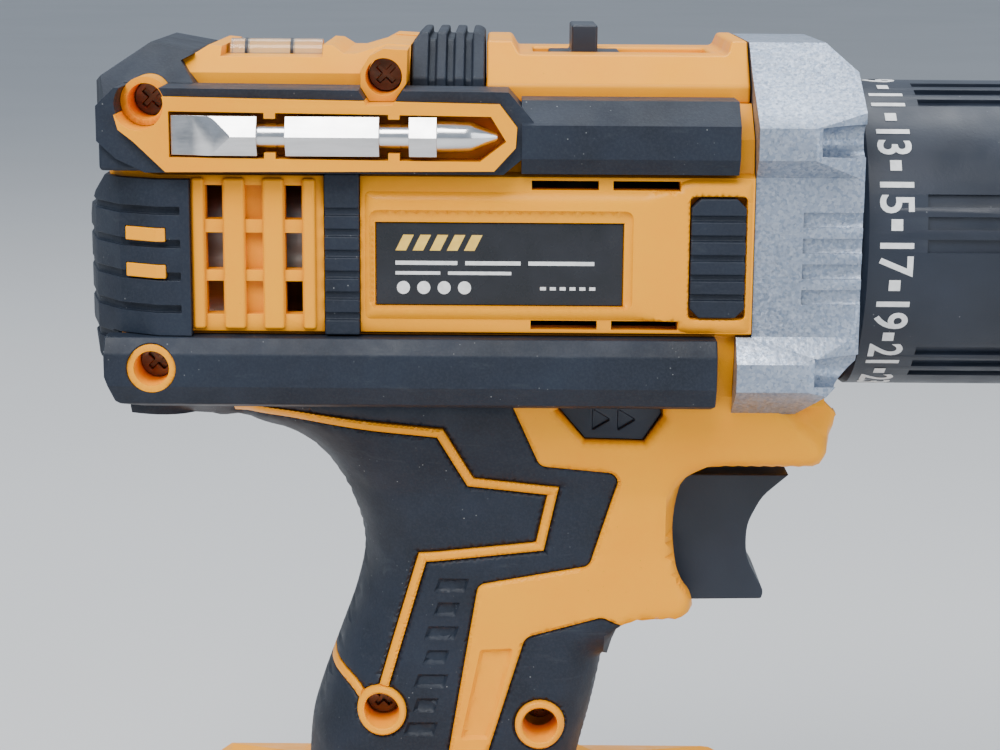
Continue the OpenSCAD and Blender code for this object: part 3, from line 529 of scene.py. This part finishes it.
def handle_depth(x, z):
    w = np.interp(z, *DEPTH)
    y = w * shoulder(distance(x, z, BACK_SEG), 14.0)
    y = np.minimum(y, w * shoulder(distance(x, z, FRONT_SEG), 8.0, 2.3, 0.18))
    d = distance(x, z, closed(NEAR))
    t = np.where(inside(x, z, NEAR), d, -d)
    y = np.minimum(y, w * np.where(t > 0, shoulder(np.abs(t), 1.7, 2.0, 0.9),
                                   np.maximum(0.9 + 0.25 * t, 0.16)))
    # the flat that runs down the front corner of the nose
    cut = (x - 45.4) * 0.73 + (z + 27) * 0.69
    y -= np.clip(cut, 0, 2.4) * np.where(z > -34, 1.0, 0.0) * np.clip((z + 34) / 2.5, 0, 1)
    belly = np.interp(z, *BELLY)
    return np.where(x < 37, np.maximum(y, np.where(z > -30, belly, 0)), y)


def rounded(poly, radii, n=5):
    """The outline with its corners rounded."""
    out = []
    for i, p in enumerate(poly):
        r = radii[i] if isinstance(radii, (list, tuple)) else radii
        p = Vector(p)
        u = (Vector(poly[i - 1]) - p).normalized()
        v = (Vector(poly[(i + 1) % len(poly)]) - p).normalized()
        half = math.acos(max(-1, min(1, u.dot(v)))) / 2
        if r <= 0 or half < 0.05 or half > 1.54:
            out.append(tuple(p))
            continue
        t = r / math.tan(half)
        c = p + (u + v).normalized() * (r / math.sin(half))
        a, b = p + u * t - c, p + v * t - c
        a0 = math.atan2(a.y, a.x)
        turn = (math.atan2(b.y, b.x) - a0 + math.pi) % (2 * math.pi) - math.pi
        for k in range(n + 1):
            q = a0 + turn * k / n
            out.append((c.x + r * math.cos(q), c.y + r * math.sin(q)))
    return out


PANEL = rounded([(0.5, -21), (6.4, -34.9), (19.4, -36.2), (14.6, -52.2), (-3.3, -55.5), (-10.4, -99), (-5, -99),
                 (-1.3, -83.2), (4.4, -64.4), (16.8, -60.9), (20.4, -62.6), (21, -72), (70, -72), (70, -21)],
                [0, 1.6, 1.8, 1.8, 1.4, 0, 0, 0, 2.2, 1.5, 1.5, 0, 0, 0])
RECESS = rounded([(-2.9, -66.4), (2.6, -66.1), (-1.5, -81.7), (-6.1, -81.8)], 0.5, 3)
STRIPE = [(-42, -26), (-37.5, -26.4), (-9.4, -29.3), (-4.6, -37.9), (8.6, -39.4), (6.6, -48.9),
          (-12.3, -51), (-18.9, -74)]
TAIL = curve([(-21.8, -75.6), (-24, -73.4), (-27.4, -71.9), (-33, -71)], 3)
WINDOW = [(13.4, -30.4), (22.8, -30.6), (25.7, -26.3), (25.5, -23.8), (10.5, -23.8), (8.9, -25.2)]
WINDOW_OUT = [(12.7, -31.6), (23.4, -31.8), (27, -26.6), (26.6, -22.9), (10, -22.9), (7.4, -25.1)]
HOLE_D, HOLE_E = (-19, -77.1), (6.9, -79.2)
CUT_Z = -96.1


def handle_side(side, tag):
    """The core, panel, stripe, screw bosses and rubber of one half of the handle.
    side is -1 on the camera side."""
    def within(x, z):
        return inside(x, z, OUTLINE) & (z > CUT_Z)

    low = [(-60, CUT_Z), (60, CUT_Z), (60, CUT_Z - 1), (-60, CUT_Z - 1)]
    holes = [ring(*HOLE_D, 4.1), ring(*HOLE_E, 4.1)]
    bores = [ring(*HOLE_D, 2.9), ring(*HOLE_E, 2.9)]
    wide = band(STRIPE, 1.9)
    slim = band(STRIPE, 1.5)
    tail_wide, tail = band(TAIL, 1.9), band(TAIL, 1.5)

    def off(x, z, polys):
        m = np.ones(len(x), bool)
        for p in polys:
            m &= ~inside(x, z, p)
        return m

    # the hard core under the rubber
    relief(tag + "_core", [OUTLINE, low, WINDOW] + bores,
           lambda x, z: within(x, z) & off(x, z, [WINDOW] + bores) & (distance(x, z, closed(OUTLINE)) > 1.6),
           lambda x, z: np.maximum(handle_depth(x, z) - RUBBER, 0.4), 2.4, "yellow_plastic",
           side, (tag + "_shell",), edge=0.3, step=2.6, soft=closed(OUTLINE))
    # the hard front panel, with the recess on the handle and the bezel of the direction button

    def panel_top(x, z):
        y = handle_depth(x, z) + 0.55
        d = distance(x, z, closed(RECESS))
        y -= np.where(inside(x, z, RECESS), 0.8 * np.clip(d / 0.7, 0, 1), 0)
        w = distance(x, z, closed(WINDOW))
        y -= np.where(inside(x, z, WINDOW_OUT), 0.7 * (1 - np.clip(w / 1.1, 0, 1)), 0)
        return y

    relief(tag + "_panel", [OUTLINE, low, PANEL, RECESS, WINDOW, WINDOW_OUT],
           lambda x, z: within(x, z) & inside(x, z, PANEL) & off(x, z, [WINDOW]),
           panel_top, 2.4, "yellow_plastic", side, (tag + "_shell",), edge=0.6, step=1.2,
           soft=closed(OUTLINE) + closed(low))
    near_hole = ring(*HOLE_D, 4.0)
    for piece, shape in (("_stripe", slim), ("_stripe_tail", tail)):
        relief(tag + piece, [OUTLINE, shape, near_hole],
               lambda x, z, a=shape: within(x, z) & inside(x, z, a) & off(x, z, [near_hole]),
               lambda x, z: handle_depth(x, z) + 0.3, 2.2, "yellow_plastic", side,
               (tag + "_shell",), edge=0.42, step=0.8, soft=closed(OUTLINE))
    for i, (h, r) in enumerate(((HOLE_D, 4.05), (HOLE_E, 4.05))):
        outer, bore = ring(*h, r, 40), ring(*h, 2.9, 40)
        relief(tag + "_boss_%d" % i, [outer, bore],
               lambda x, z, a=outer, b=bore: inside(x, z, a) & ~inside(x, z, b),
               lambda x, z: handle_depth(x, z) + 0.7, 8.0, "yellow_plastic", side,
               (tag + "_shell",), edge=0.3, step=0.7)
    # plain raised bars where the moulded lettering was
    bars = []
    for i in range(7):
        z = -55.6 - 4.1 * i
        x = np.interp(z, [-84, -54], [-13.4, -7.2])
        w = 2.2 if i % 2 else 2.9
        bars.append([(x - w, z - 1.2), (x + w - 0.8, z - 1.2), (x + w, z + 1.2), (x - w + 0.8, z + 1.2)])

    def grip_top(x, z):
        y = handle_depth(x, z)
        for b in bars:
            d = distance(x, z, closed(b))
            y -= np.where(inside(x, z, b), 0.55 * np.clip(d / 0.35, 0, 1), 0)
        return y

    relief(tag + "_grip_skin", [OUTLINE, low, PANEL, wide, tail_wide] + holes + bars,
           lambda x, z: within(x, z) & off(x, z, [PANEL, wide, tail_wide] + holes)
           & ((x > -46) | (z < -23.5)) & (z < -24.2),
           grip_top, RUBBER, "soft_rubber", side, (tag + "_grip",), edge=0.5, step=1.2,
           soft=closed(OUTLINE) + closed(low))


handle_side(-1, "left")
handle_side(1, "right")

# ---------------------------------------------------------------- everything else on the CAD shapes

for side_name in ("left", "right"):
    cad_piece(side_name + "_shell", 0.3, 2, 30, side_name + "_barrel",
              keep_above=BARREL_BOTTOM, keep_back=NOSE_END, whole=False)
    cad_piece(side_name + "_shell", 1.2, 3, 30, side_name + "_foot", keep_below=FOOT_TOP)

WIDTHS = {
    "left_upper_rail": 0.6, "right_upper_rail": 0.6, "left_lower_rail": 0.7, "right_lower_rail": 0.7,
    "rear_bumper": 0.35, "bumper_tabs": 0.2, "left_band": 0.25, "right_band": 0.25, "left_insert": 0.25,
    "right_insert": 0.25, "left_plate": 0.08, "right_plate": 0.08, "rear_shoulder": 0.6, "rear_cover": 0.6,
    "top_grip": 0.35, "speed_cover": 0.6, "speed_knob": 0.4, "bit_tray": 0.45, "spare_bit": 0.16,
    "gear_housing": 0.3, "torque_collar": 0.3, "trigger": 0.9, "direction_button": 0.3,
    "chuck_body": 0.3, "chuck_sleeve": 0.3, "battery_pack": 1.3, "housing_screws": 0.15,
    "motor_can": 0.3, "motor_cap": 0.3, "level_vial": 0.1,
}
for node in NODES:
    if node in ("left_shell", "right_shell", "left_grip", "right_grip", "trigger"):
        continue
    cad_piece(node, WIDTHS.get(node, 0), 3 if WIDTHS.get(node, 0) > 0.2 else 2, whole=node != "gear_housing")

# ---------------------------------------------------------------- printing


def flat_print(name, polys, material, y, side, thick=0.07, body="housing"):
    """Flat printed shapes (x, z) on a side of the body."""
    bm = bmesh.new()
    for p in polys:
        if side > 0:
            p = p[::-1]
        out = [bm.verts.new(P(x, side * (y + thick), z)) for x, z in p]
        inn = [bm.verts.new(P(x, side * y, z)) for x, z in p]
        bm.faces.new(out)
        n = len(p)
        for i in range(n):
            bm.faces.new((out[i], inn[i], inn[(i + 1) % n], out[(i + 1) % n]))
    me = bpy.data.meshes.new(name)
    bm.to_mesh(me)
    bm.free()
    return new_object(name, me, material, body)


def rect(x0, z0, x1, z1, slant=0.0):
    return [(x0, z0), (x1, z0), (x1 + slant, z1), (x0 + slant, z1)]


# the raised field round the label and the insert
FIELD = rounded([(-20.6, -9.9), (20.5, -9.9), (28.5, -11.8), (38, -11.8), (38, 11.8), (28.8, 11.8), (22, 9.6),
                 (-20.6, 9.6)], 0.8, 3)
BED = rounded(rect(-19.9, -8.2, 20, 6.9), 1.2, 4)
HOLES = [rect(-19.05, -7.85, 18.65, 4.95), rounded(rect(28.5, -9.6, 37.2, 9.2), 0.8, 3)]
HOLES += [rect(x, z, x + 10.2, z + 1.5) for x in (4.55, 16.85) for z in (-11.45, 9.95)]


def field_top(x, z):
    y = 28.5 + 0.8 * np.clip(distance(x, z, closed(FIELD)) / 1.0, 0, 1)
    d = distance(x, z, closed(BED))
    return y - np.where(inside(x, z, BED), 0.75 * np.clip(d / 0.35, 0, 1), 0)


for side, tag in ((-1, "left"), (1, "right")):
    relief(tag + "_field", [FIELD, BED] + HOLES,
           lambda x, z: inside(x, z, FIELD) & ~np.any([inside(x, z, h) for h in HOLES], axis=0),
           field_top, 1.1, "yellow_plastic", side, (tag + "_shell",), edge=0.22, step=0.9,
           soft=closed(FIELD))

label_y = 28.1
for side, tag in ((-1, "left"), (1, "right")):
    mark = [rect(-16 + 2.6 * i, 0.6, -14.4 + 2.6 * i, 3.0, 1.2) for i in range(5)]
    flat_print(tag + "_label_mark", mark, "yellow_print", label_y, side)
    fine = [rect(-16, -1.6, -6.6, -1.0), rect(-5.4, -1.6, 3.0, -1.0), rect(4.2, -1.6, 14.2, -1.0)]
    fine += [rect(-16, -3.1, -9.2, -2.6), rect(-8, -3.1, 1.6, -2.6)]
    fine += [rect(6 + 1.5 * i, -5.4, 6.9 + 1.5 * i, -4.9) for i in range(6)]
    for i in range(4):
        cx = -14.8 + 3.1 * i
        fine.append(ring(cx, -5.1, 1.0, 18))
    flat_print(tag + "_label_lines", fine, "white_print", label_y, side)



def prism(name, poly, y0, y1, node, width, segments=3):
    """A bevelled block with the given side outline, in the looks of a CAD node."""
    bm = bmesh.new()
    a = [bm.verts.new(P(x, y0, z)) for x, z in poly]
    b = [bm.verts.new(P(x, y1, z)) for x, z in poly]
    bm.faces.new(a)
    bm.faces.new(b[::-1])
    n = len(poly)
    for i in range(n):
        bm.faces.new((a[i], b[i], b[(i + 1) % n], a[(i + 1) % n]))
    bmesh.ops.recalc_face_normals(bm, faces=bm.faces)
    me = bpy.data.meshes.new(name)
    bm.to_mesh(me)
    bm.free()
    smooth(me, 30)
    slot = SLOT_OF[node]
    o = new_object(name, me, slot, BODY_OF[node], (node,))
    return bevelled(o, width, segments, 30)


# upright bars of the grille stand proud of the level ones
for side, tag in ((-1, "left"), (1, "right")):
    for i, (x0, x1) in enumerate(((-46.8, -44.8), (-42.0, -38.7), (-36.0, -32.8), (-30.0, -28.0))):
        prism(tag + "_grille_bar_%d" % i, rect(x0, -11.6, x1, 11.6), side * 28.2, side * 29.3, tag + "_shell",
              0.55)
# the vial's two marks
for i, x in enumerate((-40.6, -33.4)):
    bm = bmesh.new()
    bmesh.ops.create_cone(bm, cap_ends=True, segments=40, radius1=0.00214, radius2=0.00214, depth=0.0005,
                          matrix=Matrix.Translation(P(x, -5, 29)) @ Matrix.Rotation(math.pi / 2, 4, "Y"))
    me = bpy.data.meshes.new("vial_mark_%d" % i)
    bm.to_mesh(me)
    bm.free()
    smooth(me)
    bevelled(new_object("vial_mark_%d" % i, me, "black_plastic", "housing"), 0.05, 2)
# the foot's top behind the handle
for side, tag in ((-1, "left"), (1, "right")):
    prism(tag + "_foot_cover", [(-40, -100.38), (-36, -99.35), (-32.2, -95.45), (-27, -95.45), (-27, -97.5),
                                (-33, -97.6), (-37, -101), (-40, -102)], 0, side * 11.8, tag + "_shell", 0.03, 1)
# rubber behind the tray
prism("left_rail_heel", [(-60.2, 12.65), (-51.4, 12.65), (-56.9, 15.2), (-60.2, 18)], -24, -30.6,
      "left_upper_rail", 0.6)
# the trigger's curved front
PULL = curve([(47.7, -39.2), (45.5, -41.1), (43.5, -43), (42.1, -45.4), (41.1, -47.9), (40.9, -51), (41.3, -53.7),
              (42.6, -56.5), (43.9, -59), (43.7, -60.5)], 3)
prism("trigger_skin", PULL + [(31.4, -60.7), (22.1, -61.3), (22.1, -43), (27.5, -41.1), (27.5, -39.2)], -8.15,
      8.15, "trigger", 1.5, 4)
prism("trigger_stem", rect(8.1, -57.2, 22.6, -52.8), -2.2, 2.2, "trigger", 0.6)

COLLAR_R = 24.8
NUMBER_X = 60.65  # middle of the row of numbers along the spindle
NUMBER_STEP = 21.8  # degrees between two numbers
NUMBER_ANGLE = 64.9  # where 11 stands, above the camera side


def wrap(me, x_mid, angle_deg, r=COLLAR_R + 0.05):
    """Bends a flat mesh (u right, v up, w out; mm) round the collar.
    u runs down the camera side, v towards +X."""
    a0 = math.radians(angle_deg)
    for vert in me.vertices:
        u, v, w = vert.co
        a = a0 - u / COLLAR_R
        vert.co = P(x_mid + v, -(r + w) * math.cos(a), (r + w) * math.sin(a))


def number(text, angle_deg):
    c = bpy.data.curves.new("numeral", "FONT")
    c.body = text
    c.size = 7.9
    c.offset = 0.13
    c.space_character = 0.92
    c.align_x = "CENTER"
    c.extrude = 0.03
    c.resolution_u = 4
    o = bpy.data.objects.new("numeral", c)
    bpy.context.scene.collection.objects.link(o)
    bpy.context.view_layer.update()
    me = bpy.data.meshes.new_from_object(o.evaluated_get(bpy.context.evaluated_depsgraph_get()))
    bpy.data.objects.remove(o)
    bpy.data.curves.remove(c)
    lo = min(v.co.y for v in me.vertices)
    hi = max(v.co.y for v in me.vertices)
    for v in me.vertices:
        v.co.y = (v.co.y - (lo + hi) / 2) * 5.3 / (hi - lo)
        v.co.x *= 0.85
    wrap(me, NUMBER_X, angle_deg)
    new_object("collar_number_" + text, me, "white_print", "collar")


def dot(i, angle_deg):
    bm = bmesh.new()
    h = 0.88
    q = [bm.verts.new((u, v, 0.03)) for u, v in ((-h, -h), (h, -h), (h, h), (-h, h))]
    bm.faces.new(q)
    me = bpy.data.meshes.new("dot")
    bm.to_mesh(me)
    bm.free()
    wrap(me, NUMBER_X, angle_deg)
    new_object("collar_dot_%d" % i, me, "white_print", "collar")


for i in range(12):
    number(str(1 + 2 * i), NUMBER_ANGLE - NUMBER_STEP * (i - 5))
    if i < 11:
        dot(i, NUMBER_ANGLE - NUMBER_STEP * (i - 4.5))

# ---------------------------------------------------------------- floor, light, camera

floor = bpy.data.meshes.new("floor")
floor.from_pydata([(-6, -6, 0), (6, -6, 0), (6, 6, 0), (-6, 6, 0)], [], [(0, 1, 2, 3)])
floor_ob = bpy.data.objects.new("floor", floor)
bpy.context.scene.collection.objects.link(floor_ob)
floor.materials.append(plain("floor", (0.60, 0.60, 0.60), (0.63, 0.63, 0.63), (0.6, 0.7), 3))

world = bpy.data.worlds.new("studio")
bpy.context.scene.world = world
world.use_nodes = True
world.node_tree.nodes["Background"].inputs["Color"].default_value = (0.72, 0.83, 0.98, 1)
world.node_tree.nodes["Background"].inputs["Strength"].default_value = 0.55


def area(name, place, aim, size, power, colour=(1, 1, 1)):
    l = bpy.data.lights.new(name, "AREA")
    l.shape = "RECTANGLE"
    l.size, l.size_y = size
    l.energy = power
    l.color = colour
    o = bpy.data.objects.new(name, l)
    bpy.context.scene.collection.objects.link(o)
    o.location = place
    o.rotation_mode = "QUATERNION"
    o.rotation_quaternion = (Vector(aim) - Vector(place)).to_track_quat("-Z", "Y")
    return o


TARGET = (0, 0, 0.14)
area("key", (-0.35, -0.75, 1.05), TARGET, (0.9, 0.6), 20, (1.0, 0.98, 0.95))
area("fill", (0.9, -0.9, 0.45), TARGET, (0.8, 0.8), 5, (0.92, 0.96, 1.0))
area("top", (0.1, 0.35, 1.1), TARGET, (1.1, 0.5), 10, (0.95, 0.98, 1.0))

cam_data = bpy.data.cameras.new("camera")
cam = bpy.data.objects.new("camera", cam_data)
bpy.context.scene.collection.objects.link(cam)
bpy.context.scene.camera = cam
AIM_Z, CAMERA_DISTANCE, ELEVATION, ROLL = -24.5, 0.365, 11.8, 0.4
elev = math.radians(ELEVATION)
away = Vector((0, -math.cos(elev), math.sin(elev)))
cam.location = P(0, 0, AIM_Z) + away * CAMERA_DISTANCE
cam.rotation_mode = "QUATERNION"
roll = Quaternion((0, 0, 1), math.radians(ROLL))
cam.rotation_quaternion = (-away).to_track_quat("-Z", "Y") @ roll
cam_data.sensor_width = 36.0
cam_data.lens = 78.84
cam_data.clip_start, cam_data.clip_end = 0.01, 30
